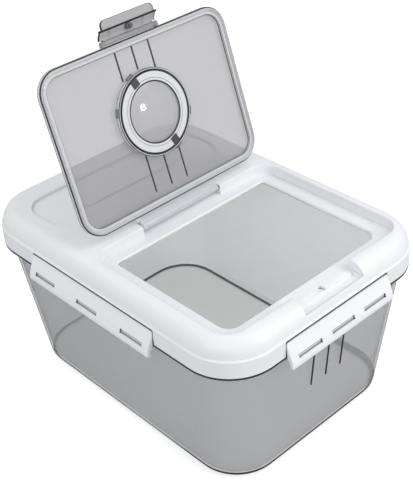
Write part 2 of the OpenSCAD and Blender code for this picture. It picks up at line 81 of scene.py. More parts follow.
# ---------- curves and surfaces


def ease(share: np.ndarray) -> np.ndarray:
    """Smooth step: 3 t squared less 2 t cubed, with t held between 0 and 1."""
    t = np.clip(share, 0.0, 1.0)
    return t * t * (3.0 - 2.0 * t)


def filleted(outline: Sequence[Corner], closed: bool = False, steps: int = 4) -> np.ndarray:
    """Round the corners of a flat outline.

    Each corner gives way to a circular arc that touches both of its edges: the arc's centre lies on the
    bisector, and the points on it are a slerp between the two tangent points.

    Args:
        outline: corners in order, each with its radius after its two coordinates.
        closed: whether the last corner joins the first; if not, the two end points stay as they are.
        steps: chords in an arc.

    Returns:
        The rounded outline, one pair for each point.
    """
    corner, radius = np.split(np.array(outline, float), [2], axis=1)
    to_prev = np.roll(corner, 1, 0) - corner
    to_next = np.roll(corner, -1, 0) - corner
    to_prev /= np.linalg.norm(to_prev, axis=1, keepdims=True)
    to_next /= np.linalg.norm(to_next, axis=1, keepdims=True)
    half = 0.5 * np.arccos(np.clip((to_prev * to_next).sum(1), -0.9999, 0.9999))[:, None]
    bisector = to_prev + to_next
    bisector /= np.maximum(np.linalg.norm(bisector, axis=1, keepdims=True), 1e-9)
    centre = corner + bisector * radius / np.sin(half)
    start = corner + to_prev * radius / np.tan(half) - centre
    end = corner + to_next * radius / np.tan(half) - centre
    sweep = (math.pi - 2.0 * half)[:, :, None]
    t = np.linspace(0.0, 1.0, steps + 1)[None, :, None]
    slerp = (np.sin((1 - t) * sweep) * start[:, None] + np.sin(t * sweep) * end[:, None]) / np.sin(sweep)
    arcs = centre[:, None] + slerp
    if closed:
        return arcs.reshape(-1, 2)
    return np.concatenate([corner[:1], arcs[1:-1].reshape(-1, 2), corner[-1:]])


def rounded_box(first: Spot, last: Spot, radius: float) -> np.ndarray:
    """A closed rectangle between two opposite corners, with its corners rounded."""
    (a0, b0), (a1, b1) = first, last
    return filleted([(a0, b0, radius), (a1, b0, radius), (a1, b1, radius), (a0, b1, radius)], True, 3)


def rounded_loops(half_a: np.ndarray, half_b: Numbers, radius: Numbers, arc: int = 10) -> np.ndarray:
    """Rounded rectangles, one for each entry: four quarter circles joined by straight runs.

    Args:
        half_a: half widths.
        half_b: half heights.
        radius: corner radii.
        arc: chords in each corner.

    Returns:
        Points shaped (loops, points, 2), anticlockwise.
    """
    sizes = [np.atleast_1d(np.asarray(size, float)) for size in (half_a, half_b, radius)]
    half_a, half_b, radius = np.broadcast_arrays(*sizes)
    turn = np.linspace(0.0, 0.5 * math.pi, arc + 1)[None, :] + 0.5 * math.pi * np.arange(4)[:, None]
    sign_a = np.array([1, -1, -1, 1])[:, None]
    sign_b = np.array([1, 1, -1, -1])[:, None]
    r = radius[:, None, None]
    a = sign_a * (half_a[:, None, None] - r) + r * np.cos(turn)
    b = sign_b * (half_b[:, None, None] - r) + r * np.sin(turn)
    return np.stack([a, b], -1).reshape(len(radius), -1, 2)


def fine(profile: np.ndarray, step: float = 0.35, longest: float = 12.0) -> np.ndarray:
    """Add points along a profile, so that a mark on it ends crisply; long flat runs stay as they are."""
    parts = []
    for start, end in zip(profile[:-1], profile[1:]):
        span = float(np.linalg.norm(end - start))
        count = max(1, math.ceil(span / step)) if span < longest else 1
        parts.append(start + (end - start) * np.linspace(0.0, 1.0, count, endpoint=False)[:, None])
    return np.concatenate([*parts, profile[-1:]])


def strokes(profile: np.ndarray, marks: Sequence[tuple[float, float, float, float]]) -> np.ndarray:
    """Dark strokes round chosen places of a profile.

    Args:
        profile: points of the profile, as pairs.
        marks: for each stroke the two coordinates of its middle, its reach and its strength.

    Returns:
        One value for each point: the strength within the reach of a mark, fading out over a short soft edge.
    """
    soft = 0.3
    value = np.zeros(len(profile))
    for first, second, reach, strength in marks:
        away = np.hypot(profile[:, 0] - first, profile[:, 1] - second)
        value = np.maximum(value, strength * np.clip((reach + soft - away) / soft, 0.0, 1.0))
    return value


def plan_rings(
    profile: np.ndarray,
    half_x: float,
    half_y: float,
    radius: Numbers,
    centre: Spot = ORIGIN,
    arc: int = 10,
) -> np.ndarray:
    """Carry an (inset, height) profile round a rounded-rectangle plan.

    Args:
        profile: pairs of inset from the plan's edge and height.
        half_x: half the plan's width.
        half_y: half the plan's depth.
        radius: corner radius of the plan, or one for each profile point, before the inset is taken off.
        centre: the plan's centre.
        arc: chords in each corner.

    Returns:
        Points shaped (profile points, round points, 3).
    """
    inset = profile[:, 0]
    loops = rounded_loops(half_x - inset, half_y - inset, np.maximum(radius - inset, 0.05), arc)
    height = np.broadcast_to(profile[:, 1, None, None], loops.shape[:2] + (1,))
    return np.concatenate([loops + np.asarray(centre), height], -1)


def lathe(profile: np.ndarray, centre: Spot = ORIGIN, steps: int = 96) -> np.ndarray:
    """Turn a (radius, height) profile about an upright axis: x = r cos a, y = r sin a.

    Args:
        profile: pairs of radius and height.
        centre: where the axis stands.
        steps: chords in the full turn.

    Returns:
        Points shaped (profile points, steps, 3).
    """
    turn = np.linspace(0.0, 2.0 * math.pi, steps, endpoint=False)
    x = centre[0] + profile[:, :1] * np.cos(turn)
    y = centre[1] + profile[:, :1] * np.sin(turn)
    return np.stack([x, y, np.broadcast_to(profile[:, 1:], x.shape)], -1)


def prism(outline: np.ndarray, half_length: float, centre_x: float = 0.0) -> np.ndarray:
    """Carry a closed (y, z) outline along X between two ends.

    Returns:
        Points shaped (2, outline points, 3).
    """
    x = centre_x + half_length * np.array(PAIR)[:, None]
    y, z = outline[:, 0], outline[:, 1]
    return np.stack(np.broadcast_arrays(x, y[None], z[None]), -1)


def circle(centre: Spot, radius: float, turn: np.ndarray) -> np.ndarray:
    """Points of a circle at the given angles, as pairs."""
    return np.stack([centre[0] + radius * np.cos(turn), centre[1] + radius * np.sin(turn)], -1)


def rod(radius: float, half: float, axis: Spot, shift: float = 0.0, steps: int = 4) -> np.ndarray:
    """A round rod along X with rounded ends.

    Args:
        radius: the rod's radius.
        half: half its length.
        axis: the y and z of its axis.
        shift: the x of its middle.
        steps: chords in the arc at an end.
    """
    end_r = 0.4
    corners = [(CORE, -half, SHARP), (radius, -half, end_r), (radius, half, end_r), (CORE, half, SHARP)]
    upright = lathe(filleted(corners, steps=steps), steps=32)
    return np.stack([upright[..., 2] + shift, upright[..., 0] + axis[0], upright[..., 1] + axis[1]], -1)


def block(
    half_x: float, half_y: float, radius: float, low: float, high: float, edge: float, centre: Spot = ORIGIN
) -> np.ndarray:
    """A low block with rounded corners and rounded upper and lower edges, as plan rings."""
    inner = 0.9 * radius
    corners = [(inner, low, SHARP), (0.0, low, edge), (0.0, high, edge), (inner, high, SHARP)]
    profile = filleted(corners, steps=3)
    return plan_rings(profile, half_x, half_y, radius, centre, 5)


def turned(points: np.ndarray, degrees: float, centre: Spot = ORIGIN) -> np.ndarray:
    """Turn points about an upright axis at centre."""
    angle = math.radians(degrees)
    spin = np.array([[math.cos(angle), math.sin(angle)], [-math.sin(angle), math.cos(angle)]])
    out = points.copy()
    out[..., :2] = (points[..., :2] - centre) @ spin + centre
    return out


def opened(points: np.ndarray) -> np.ndarray:
    """Turn what is drawn for the closed flap up about the hinge to its resting angle."""
    angle = math.radians(-OPEN_DEG)
    y, z = points[..., 1] - HINGE[0], points[..., 2] - HINGE[1]
    out = points.copy()
    out[..., 1] = HINGE[0] + y * math.cos(angle) - z * math.sin(angle)
    out[..., 2] = HINGE[1] + y * math.sin(angle) + z * math.cos(angle)
    return out


@dataclass
class Skin:
    """Quads over a grid of points in millimetres; columns always join up into a ring."""

    points: np.ndarray
    ring_rows: bool = False
    edge: Numbers = 0.0

    def faces(self, first: int) -> list[list[int]]:
        """Quads between neighbouring rows and, unless the rows form a ring, a cap on each end row."""
        rows, cols = self.points.shape[:2]
        index = first + np.arange(rows * cols).reshape(rows, cols)
        below = index if self.ring_rows else index[:-1]
        above = np.roll(index, -1, 0) if self.ring_rows else index[1:]
        quads = np.stack([below, np.roll(below, -1, 1), np.roll(above, -1, 1), above], -1)
        caps = [] if self.ring_rows else [index[0, ::-1].tolist(), index[-1].tolist()]
        return quads.reshape(-1, 4).tolist() + caps

    def edges(self) -> np.ndarray:
        """The edge value of every point, from one value for the skin, for each row or for each point."""
        value = np.asarray(self.edge, float)
        rows = value if value.ndim == 2 else value.reshape(-1, 1)
        return np.broadcast_to(rows, self.points.shape[:2]).ravel()


def skin_object(name: str, skins: Sequence[Skin]) -> Piece:
    """Make one object from grids of points.

    Args:
        name: the piece's name.
        skins: closed grids in millimetres.

    Returns:
        The object, at the origin, with its faces pointing outwards.
    """
    counts = np.cumsum([0] + [skin.points.shape[0] * skin.points.shape[1] for skin in skins])
    points = np.concatenate([skin.points.reshape(-1, 3) for skin in skins]) * MM
    faces = [face for skin, first in zip(skins, counts) for face in skin.faces(int(first))]
    mesh = bpy.data.meshes.new(name)
    mesh.from_pydata(points, [], faces)
    attribute = mesh.attributes.new(EDGE, "FLOAT", "POINT")
    attribute.data.foreach_set("value", np.concatenate([skin.edges() for skin in skins]).astype(np.float32))
    return linked(name, mesh)


def linked(name: str, mesh: bpy.types.Mesh) -> Piece:
    """Link a mesh as an object, with its normals facing outwards and its sharp edges marked."""
    work = bmesh.new()
    work.from_mesh(mesh)
    bmesh.ops.recalc_face_normals(work, faces=work.faces)
    work.to_mesh(mesh)
    work.free()
    mesh.shade_smooth()
    mesh.set_sharp_from_angle(angle=math.radians(SMOOTH_DEG))
    return placed(name, mesh)


def placed(name: str, data: bpy.types.ID) -> Piece:
    """Put an object that shows the data into the scene."""
    made = bpy.data.objects.new(name, data)
    bpy.context.scene.collection.objects.link(made)
    return made


def opened_object(name: str, skins: Sequence[Skin]) -> Piece:
    """Make one object from grids drawn for the closed flap."""
    return skin_object(name, [replace(skin, points=opened(skin.points)) for skin in skins])


def bevelled(piece: Piece, width: float) -> Piece:
    """Give a piece's sharp edges a small radius, in millimetres."""
    sharpest = 40.0
    rounding = piece.modifiers.new("edge_rounding", "BEVEL")
    rounding.width = width * MM
    rounding.segments = 2
    rounding.limit_method = "ANGLE"
    rounding.angle_limit = math.radians(sharpest)
    rounding.use_clamp_overlap = True
    rounding.harden_normals = True
    return piece


def softened(node: str, width: float) -> Piece:
    """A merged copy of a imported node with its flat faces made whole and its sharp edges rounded.

    Args:
        node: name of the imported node.
        width: edge radius in millimetres.

    Returns:
        The copy, ready to replace the node.
    """
    weld = 0.002 * MM
    flat = math.radians(0.4)
    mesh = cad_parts[node].data.copy()
    work = bmesh.new()
    work.from_mesh(mesh)
    bmesh.ops.remove_doubles(work, verts=work.verts, dist=weld)
    bmesh.ops.dissolve_limit(work, angle_limit=flat, verts=work.verts, edges=work.edges)
    work.to_mesh(mesh)
    work.free()
    mesh.materials.clear()
    return bevelled(linked(node + "_soft", mesh), width)


def carved(piece: Piece, cutters: Sequence[Skin]) -> Piece:
    """Cut closed skins out of a piece, with its other modifiers applied first.

    Args:
        piece: the piece, whose mesh is replaced by the cut one.
        cutters: closed grids in millimetres.

    Returns:
        The same piece, without modifiers.
    """
    for number, skin in enumerate(cutters):
        tool = skin_object(f"cutter_{number}", [skin])
        cut = piece.modifiers.new("carving", "BOOLEAN")
        cut.operation = "DIFFERENCE"
        cut.solver = "EXACT"
        cut.object = tool
        whole = piece.evaluated_get(bpy.context.evaluated_depsgraph_get())
        mesh = bpy.data.meshes.new_from_object(whole)
        piece.modifiers.clear()
        piece.data = mesh
        bpy.data.objects.remove(tool)
    piece.data.materials.clear()
    return piece


# ---------- shader expressions


Value = Union["Tone", float, int]


def math_method(kind: str, swapped: bool = False) -> Callable[["Tone", Value], "Tone"]:
    """A method of Tone that adds one Math node, with its operands swapped for a reflected operator."""

    def method(self: "Tone", other: Value) -> "Tone":
        first, second = (other, self) if swapped else (self, other)
        return self.nodes.node("ShaderNodeMath", {0: first, 1: second}, operation=kind)

    return method


@dataclass
class Tone:
    """A shader socket; arithmetic on it adds Math nodes."""

    nodes: "Nodes"
    socket: bpy.types.NodeSocket

    __add__ = math_method("ADD")
    __sub__ = math_method("SUBTRACT")
    __rsub__ = math_method("SUBTRACT", swapped=True)
    __mul__ = math_method("MULTIPLY")
    __rmul__ = __mul__
    __pow__ = math_method("POWER")
    at_least = math_method("MAXIMUM")
    at_most = math_method("MINIMUM")

    def held(self) -> "Tone":
        """The value held between 0 and 1."""
        return self.at_least(0.0).at_most(1.0)


class Nodes:
    """A node tree that is being filled."""

    def __init__(self, owner: Union[bpy.types.Material, bpy.types.World]) -> None:
        """Empty the owner's tree."""
        owner.use_nodes = True
        self.tree = owner.node_tree
        self.tree.nodes.clear()

    def add(self, kind: str, inputs: dict, **settings: object) -> bpy.types.Node:
        """Add a node with its settings and its inputs: socket name or number to a value or a Tone."""
        made = self.tree.nodes.new(kind)
        for key, value in settings.items():
            setattr(made, key, value)
        for key, value in inputs.items():
            self.feed(made.inputs[key], value)
        return made

    def node(self, kind: str, inputs: dict, output: Union[int, str] = 0, **settings: object) -> Tone:
        """Add a node and return one of its outputs."""
        return Tone(self, self.add(kind, inputs, **settings).outputs[output])

    def feed(self, socket: bpy.types.NodeSocket, value: object) -> None:
        """Link a Tone to a socket, or set a plain value on it."""
        if isinstance(value, Tone):
            self.tree.links.new(value.socket, socket)
        else:
            socket.default_value = value


class Paint(Nodes):
    """A material that is being made."""

    def __init__(self, name: str) -> None:
        """Start a material with a bare Principled shader."""
        self.material = bpy.data.materials.new(name)
        super().__init__(self.material)
        self.shader = self.add("ShaderNodeBsdfPrincipled", {})
        self.add("ShaderNodeOutputMaterial", {"Surface": Tone(self, self.shader.outputs[0])})

    def set(self, **values: object) -> None:
        """Set the Principled shader's sockets; an underscore stands for a space."""
        for key, value in values.items():
            self.feed(self.shader.inputs[key.replace("_", " ")], value)

    def place(self) -> Tone:
        """Object coordinates."""
        return self.node("ShaderNodeTexCoord", {}, "Object")

    def noise(self, scale: float, detail: float = 2.0, stretch: Colour = (1.0, 1.0, 1.0)) -> Tone:
        """Noise between 0 and 1, with a scale in cycles to the metre."""
        where = self.node("ShaderNodeMapping", {"Vector": self.place(), "Scale": stretch})
        return self.node("ShaderNodeTexNoise", {"Vector": where, "Scale": scale, "Detail": detail}, "Fac")

    def edge(self) -> Tone:
        """The piece's own edge attribute."""
        return self.node("ShaderNodeAttribute", {}, "Fac", attribute_name=EDGE)

    def crevice_shade(self, reach: float) -> Tone:
        """Painted shade: 1 deep in a gap narrower than about the reach, in metres, and 0 on open faces, from
        ambient occlusion.
        """
        light = self.node("ShaderNodeAmbientOcclusion", {"Distance": reach}, "AO", samples=16)
        shut, contrast = 0.6, 5.0
        return ((shut - light) * contrast).held()

    def blend(self, share: Value, first: Union[Tone, Colour], second: Colour) -> Tone:
        """Mix two colours."""
        start = first if isinstance(first, Tone) else (*first, 1.0)
        return self.node("ShaderNodeMix", {"Factor": share, 6: start, 7: (*second, 1.0)}, 2, data_type="RGBA")

    def bump(self, height: Tone, depth: float, strength: float) -> None:
        """Feed a height to the shader's normal; depth is in metres."""
        inputs = {"Height": height, "Distance": depth, "Strength": strength}
        self.set(Normal=self.node("ShaderNodeBump", inputs))


# ---------- finishes


@dataclass(frozen=True)
class ClearPlastic:
    """Clear moulded plastic: smoky through its faces, pale along its bands, and with painted shade where it
    is seen edge on.

    The edge attribute leads from the face's tint at 0 by the pale band at a half to the painted dark line at
    1, which is shade painted along an edge.
    Below 0 the face fades: a plate's tint then lies on its other face, and what stands on that one stays
    crisp.
    """

    name: str
    tint: Colour
    alpha: float
    pale: Colour
    pale_alpha: float
    # colour, strength and spread of the painted shade: the dark lines and the darkening where a face is seen
    # edge on
    dark: Colour = NEAR_BLACK
    dark_alpha: float = 0.9
    roughness: float = 0.06
    graze: float = 0.3
    dark_from: float = 0.62
    dark_rise: float = 3.4
    dark_matte: float = 0.85

    def material(self) -> bpy.types.Material:
        """Mix tint, band and painted dark line by the edge attribute, darken the colour as painted shade
        where the face is seen edge on, and add a little haze in the roughness.
        """
        paint = Paint(self.name)
        edge = paint.edge()
        facing = paint.node("ShaderNodeLayerWeight", {"Blend": 0.35}, "Facing") ** 3.0
        haze = paint.noise(scale=9.0, detail=3.0)
        to_pale = (edge * 2.0).held()
        tinted = 1.0 - (edge * -1.0).at_least(0.0)
        # painted shade: dark along the attribute's lines and darker where the face is seen edge on
        to_shade = ((edge - self.dark_from) * self.dark_rise).at_least(facing * self.graze).held()
        face = paint.blend(to_pale, self.tint, self.pale)
        alpha = ((self.pale_alpha - self.alpha) * to_pale + self.alpha) * tinted
        paint.set(
            Base_Color=paint.blend(to_shade, face, self.dark),
            Alpha=alpha * (1.0 - to_shade) + to_shade * self.dark_alpha + (haze - 0.5) * 0.03,
            Roughness=haze * 0.05 + to_shade * self.dark_matte + self.roughness,
            IOR=1.52,
            Specular_IOR_Level=0.5,
        )
        paint.bump(paint.noise(scale=14.0, detail=1.0), depth=0.0006, strength=0.06)
        return paint.material


@dataclass(frozen=True)
class MouldedPlastic:
    """Opaque moulded plastic with a fine satin grain and painted shade in its narrow gaps."""

    name: str
    colour: Colour
    shade: Colour
    roughness: float
    grain: float = 0.12
    coat: float = 0.15
    # gap is the colour of the painted shade in narrow gaps; reach, in metres, is how far that painted shade
    # reaches
    gap: Colour = NEAR_BLACK
    reach: float = 0.0025

    def material(self) -> bpy.types.Material:
        """A broad drift of tone and roughness, a fine grain in the bump, and painted shade that darkens
        narrow gaps.
        """
        paint = Paint(self.name)
        drift = paint.noise(scale=7.0)
        grain = paint.noise(scale=1900.0)
        face = paint.blend(drift * 0.5, self.colour, self.shade)
        paint.set(
            # painted shade: the colour darkens towards the gap colour wherever ambient occlusion finds a
            # narrow gap
            Base_Color=paint.blend(paint.crevice_shade(self.reach), face, self.gap),
            Roughness=drift * 0.08 + grain * 0.05 + self.roughness,
            Coat_Weight=self.coat,
            Coat_Roughness=0.2,
            IOR=1.5,
        )
        paint.bump(grain, depth=0.00002, strength=self.grain)
        return paint.material


@dataclass(frozen=True)
class Silicone:
    """Soft translucent rubber."""

    name: str
    colour: Colour
    alpha: float
    roughness: float = 0.42

    def material(self) -> bpy.types.Material:
        """A dusty bloom drifts over the colour and the roughness."""
        paint = Paint(self.name)
        bloom = paint.noise(scale=60.0, detail=3.0)
        pale = tuple(min(1.0, value * 1.08) for value in self.colour)
        paint.set(
            Base_Color=paint.blend(bloom * 0.6, self.colour, pale),
            Alpha=self.alpha,
            Roughness=bloom * 0.12 + self.roughness,
            Sheen_Weight=0.15,
            Subsurface_Weight=0.08,
            Subsurface_Scale=0.002,
        )
        paint.bump(paint.noise(scale=1200.0), depth=0.00003, strength=0.1)
        return paint.material


@dataclass(frozen=True)
class DrawnWire:
    """Bright drawn wire with fine lines along X."""

    name: str
    colour: Colour
    roughness: float = 0.28

    def material(self) -> bpy.types.Material:
        """Noise stretched along the wire drives roughness and bump."""
        paint = Paint(self.name)
        lines = paint.noise(scale=2600.0, stretch=(0.02, 1.0, 1.0))
        dull = tuple(0.8 * value for value in self.colour)
        paint.set(
            Base_Color=paint.blend(lines * 0.4, self.colour, dull),
            Metallic=1.0,
            Roughness=lines * 0.15 + self.roughness,
        )
        paint.bump(lines, depth=0.00001, strength=0.3)
        return paint.material


class Finish(Enum):
    """The finishes of the bin."""

    TUB = ClearPlastic(
        "tub_plastic", (0.5, 0.5, 0.505), 0.35, (0.7, 0.71, 0.73), 0.5, dark_alpha=0.97, graze=0.9
    )
    LUG = ClearPlastic("lug_plastic", (0.62, 0.625, 0.64), 0.95, (0.75, 0.76, 0.78), 0.95)
    FLAP = ClearPlastic(
        "flap_plastic", (0.37, 0.355, 0.36), 0.68, (0.8, 0.805, 0.82), 0.72, dark_alpha=0.96, graze=0.5
    )
    LEAF = ClearPlastic("leaf_plastic", (0.86, 0.87, 0.9), 0.6, (0.88, 0.89, 0.91), 0.75)
    CAP = ClearPlastic("cap_plastic", (0.9, 0.905, 0.92), 0.8, (0.88, 0.89, 0.91), 0.85)
    LENS = ClearPlastic("lens_plastic", (0.62, 0.615, 0.62), 0.3, (0.75, 0.76, 0.77), 0.4, roughness=0.03)
    LID = MouldedPlastic("lid_plastic", (0.87, 0.875, 0.89), (0.835, 0.845, 0.865), 0.36, coat=0.08)
    # the latches take a longer reach of painted gap shade, so the gap under the lid's skirt reads dark
    LATCH = MouldedPlastic(
        "latch_plastic", (0.9, 0.905, 0.915), (0.87, 0.88, 0.895), 0.34, coat=0.08, reach=0.0045
    )
    GRIP = MouldedPlastic("grip_plastic", (0.05, 0.05, 0.052), (0.08, 0.08, 0.082), 0.45, 0.3, 0.0)
    PEG = MouldedPlastic("peg_plastic", (0.1, 0.1, 0.105), (0.16, 0.16, 0.165), 0.25, 0.1, 0.2)
    PIN = MouldedPlastic("pin_plastic", (0.7, 0.71, 0.72), (0.64, 0.65, 0.66), 0.3, 0.1, 0.1)
    SEAL = Silicone("seal_silicone", (0.78, 0.79, 0.8), 0.6)
    GASKET = Silicone("gasket_silicone", (0.8, 0.81, 0.82), 1.0)
    BEAD = Silicone("bead_silicone", (0.03, 0.03, 0.032), 1.0)
    WIRE = DrawnWire("steel_wire", (0.55, 0.56, 0.58))


@cache
def material_of(finish: Finish) -> bpy.types.Material:
    """The finish's material, made once."""
    return finish.value.material()


class Assembly:
    """What every sub-assembly shares."""

    def fit(self, piece: Piece, body: str, slot: str, finish: Finish, nodes: Sequence[str] = ()) -> None:
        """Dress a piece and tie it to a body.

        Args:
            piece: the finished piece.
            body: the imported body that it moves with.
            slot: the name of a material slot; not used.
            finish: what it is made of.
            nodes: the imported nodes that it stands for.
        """
        piece.data.materials.clear()
        piece.data.materials.append(material_of(finish))
        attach(piece, body)
        if nodes:
            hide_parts(*nodes)
        log.info("%s rides on %s in %s", piece.name, body, finish.name)


class Side(NamedTuple):
    """A side of the bin: its turn, its latch's width, its skirt's distance and the latch's shift."""

    name: str
    turn: float
    width: float
    face: float
    shift: float

    @property
    def slot_pitch(self) -> float:
        """Distance between the middles of neighbouring slots of the latch."""
        return 0.5 * (self.width - SLOT_L) - SLOT_MARGIN


SIDES = (
    Side("front", 0.0, 128.0, 170.0, 0.0),
    Side("right", 90.0, 166.0, 127.0, 4.0),
    Side("rear", 180.0, 128.0, 170.0, 0.0),
    Side("left", 270.0, 166.0, 127.0, -4.0),
)


# ---------- tub


class Tub(Assembly):
    """Clear tapered tub with its rim, the lugs on the rim and three accent lines."""

    half_w = 127.0
    half_d = 170.0
    rim_z = 140.0
    rim_t = 3.4
    neck_z = 148.0
    reach = 6.6
    taper = 14.4
    wall = 2.4
    floor = 3.0
    foot_round = 6.0
    shade_top = 6.8  # how high the painted shade line round the foot reaches
    rim_band = 3.0
    fade = 20.0  # length of the stretch at mid depth over which the painted shade along the front of the foot fades out
    foot_r = 42.0
    rim_r = 47.0
    line_low = 72.0
    lug_half = 13.2
    lug_reach = 4.3
    lug_out = 0.9

    def inset(self, height: np.ndarray) -> np.ndarray:
        """How far the wall's outer face stands in from the rim's edge: it grows evenly towards the foot."""
        return self.reach + self.taper * (1.0 - height / self.rim_z)

    def plan_radius(self, height: np.ndarray) -> np.ndarray:
        """Corner radius of the plan at a height, as if its inset were nothing."""
        share = np.clip(height / self.rim_z, 0.0, 1.0)
        return self.foot_r + (self.rim_r - self.reach - self.foot_r) * share + self.inset(height)

    def shell(self) -> Piece:
        """Outer wall, rim, neck and inner wall as one profile carried round the plan."""
        under = self.rim_z - self.rim_t
        middle = 50.0
        foot, shade_top_inset, shoulder, neck, base = self.inset(
            np.array([0.0, self.shade_top, under, self.neck_z, self.floor])
        )
        corners = [
            (middle, 0.0, SHARP),
            (foot, 0.0, self.foot_round),
            (shade_top_inset, self.shade_top, SHARP),
            (shoulder, under, 1.0),
            (0.0, under, 1.1),
            (0.0, self.rim_z, 1.1),
            (self.reach, self.rim_z, 0.5),
            (neck, self.neck_z, 0.8),
            (neck + self.wall, self.neck_z, 0.8),
            (base + self.wall, self.floor, self.foot_round - self.wall),
            (middle, self.floor, SHARP),
        ]
        profile = fine(filleted(corners, steps=6), 0.5)
        height = profile[:, 1]
        # painted shade: dark lines along the rim's upper edge under the lid's skirt, along the rim's lower
        # edge, and round the foot
        marks = [(0.0, self.rim_z, 2.2, LINE), (0.0, under, 0.45, 0.9), (foot + 2.2, 1.4, 1.3, LINE)]
        at_rim = BAND * (profile[:, 0] < self.rim_band)
        at_neck = BAND * np.clip((height - self.neck_z + 1.0), 0.0, 1.0)
        edge = np.maximum.reduce([at_rim, at_neck, strokes(profile, marks)])
        rings = plan_rings(profile, self.half_w, self.half_d, self.plan_radius(height), arc=14)
        outside = (height < self.floor - 0.1) | (profile[:, 0] < self.inset(height) + 0.5 * self.wall)
        # painted shade on the foot's outer face, darkest at the front and gone past mid depth
        foot_shade = outside * strokes(profile, [(foot + 0.6, 3.4, 3.2, LINE)])
        front = np.clip(0.5 - rings[:, :, 1] / self.fade, 0.0, 1.0)
        dark = np.maximum(edge[:, None], foot_shade[:, None] * front)
        return skin_object("tub_shell", [Skin(rings, edge=dark)])

    def lugs(self) -> Piece:
        """Lugs on the rim that the latches' slots take, three to a side."""
        low, high = self.rim_z - self.rim_t + 0.3, self.rim_z - 0.1
        skins = []
        for side in SIDES:
            for step in THREE:
                centre = (step * side.slot_pitch + side.shift, -side.face - self.lug_out)
                lug = block(self.lug_half, self.lug_reach, 0.6, low, high, edge=0.35, centre=centre)
                skins.append(Skin(turned(lug, side.turn)))
        return skin_object("tub_lugs", skins)

    def lines(self) -> Piece:
        """Three raised accent lines down the front wall, each a long rounded bar that leans with the wall."""
        high = self.rim_z - self.rim_t - 0.5
        half = 0.5 * (high - self.line_low)
        lean = math.atan(self.taper / self.rim_z)
        skins = []
        for side in THREE:
            bar = block(0.5 * LINE_W, half, 0.5 * LINE_W, -0.6, 0.6, edge=0.3)
            height = self.line_low + half + bar[..., 1]
            face_y = -self.half_d + self.inset(height)
            points = np.stack([side * LINE_PITCH + bar[..., 0], face_y - bar[..., 2], height], -1)
            points[..., 2] -= bar[..., 2] * math.sin(lean)
            skins.append(Skin(points, edge=LINE))
        return skin_object("tub_lines", skins)

    def build(self) -> None:
        """Make and fit the tub's pieces."""
        self.fit(self.shell(), "base", "tub_clear", Finish.TUB, ["tub"])
        self.fit(self.lugs(), "base", "tub_clear", Finish.LUG)
        self.fit(self.lines(), "base", "tub_clear", Finish.TUB)


# ---------- lid


class Lid(Assembly):
    """White lid, its gasket and the flap's hinge pin."""

    gasket_in = 5.4
    gasket_w = 3.8
    gasket_low = 148.0
    gasket_high = 151.0
    pin_r = 1.5
    pin_half = 54.8
    ledge = 164.0
    opening_half = 92.85
    opening_rear = 6.4
    opening_front = -134.8
    opening_r = 12.0
    rear_r = 3.0
    slope_w = 1.6
    slope_h = 1.2
    cut_from = 139.0
    scoop_half = 35.8
    scoop_reach = 5.1
    scoop_y = -160.4
    scoop_deep = 1.9
    scoop_foot = 2.7

    def openings(self) -> list[Skin]:
        """What is cut from the lid: a slope into the opening, its tight rear corners and the finger scoop."""
        ledge, above = self.ledge, self.ledge + 1.0
        foot, out = ledge - self.slope_h, -self.slope_w
        slope = np.array([(0.0, foot - 0.6), (0.0, foot), (out, ledge), (out, above)])
        through = slope.copy()
        through[0, 1] = self.cut_from
        half_y = 0.5 * (self.opening_rear - self.opening_front)
        middle = (0.0, 0.5 * (self.opening_rear + self.opening_front))
        short = 30.0
        rear = (0.0, self.opening_rear - short)
        scoop = np.array([(0.8, ledge - self.scoop_foot), (0.0, ledge - self.scoop_deep), (0.0, above)])
        scoop_r = 2.0
        return [
            Skin(plan_rings(slope, self.opening_half, half_y, self.opening_r, middle, 6)),
            Skin(plan_rings(through, self.opening_half, short, self.rear_r, rear, 4)),
            Skin(plan_rings(scoop, self.scoop_half, self.scoop_reach, scoop_r, (0.0, self.scoop_y), 4)),
        ]

    def gasket(self) -> Piece:
        """Closed ring with rounded edges between the neck and the lid."""
        inner = (self.gasket_in, self.gasket_low)
        outer = (self.gasket_in + self.gasket_w, self.gasket_high)
        profile = rounded_box(inner, outer, radius=0.6)
        rings = plan_rings(profile, Tub.half_w, Tub.half_d, Tub.rim_r)
        return skin_object("gasket_ring", [Skin(rings, ring_rows=True)])

    def build(self) -> None:
        """Make and fit the lid's pieces."""
        shell = carved(softened("lid", width=0.7), self.openings())
        self.fit(shell, "base", "lid_white", Finish.LID, ["lid"])
        self.fit(self.gasket(), "base", "gasket_white", Finish.GASKET, ["lid_gasket"])
        pin = skin_object("flap_hinge_wire", [Skin(rod(self.pin_r, self.pin_half, HINGE))])
        self.fit(pin, "base", "pin_steel", Finish.WIRE, ["flap_hinge_pin"])


# ---------- flap


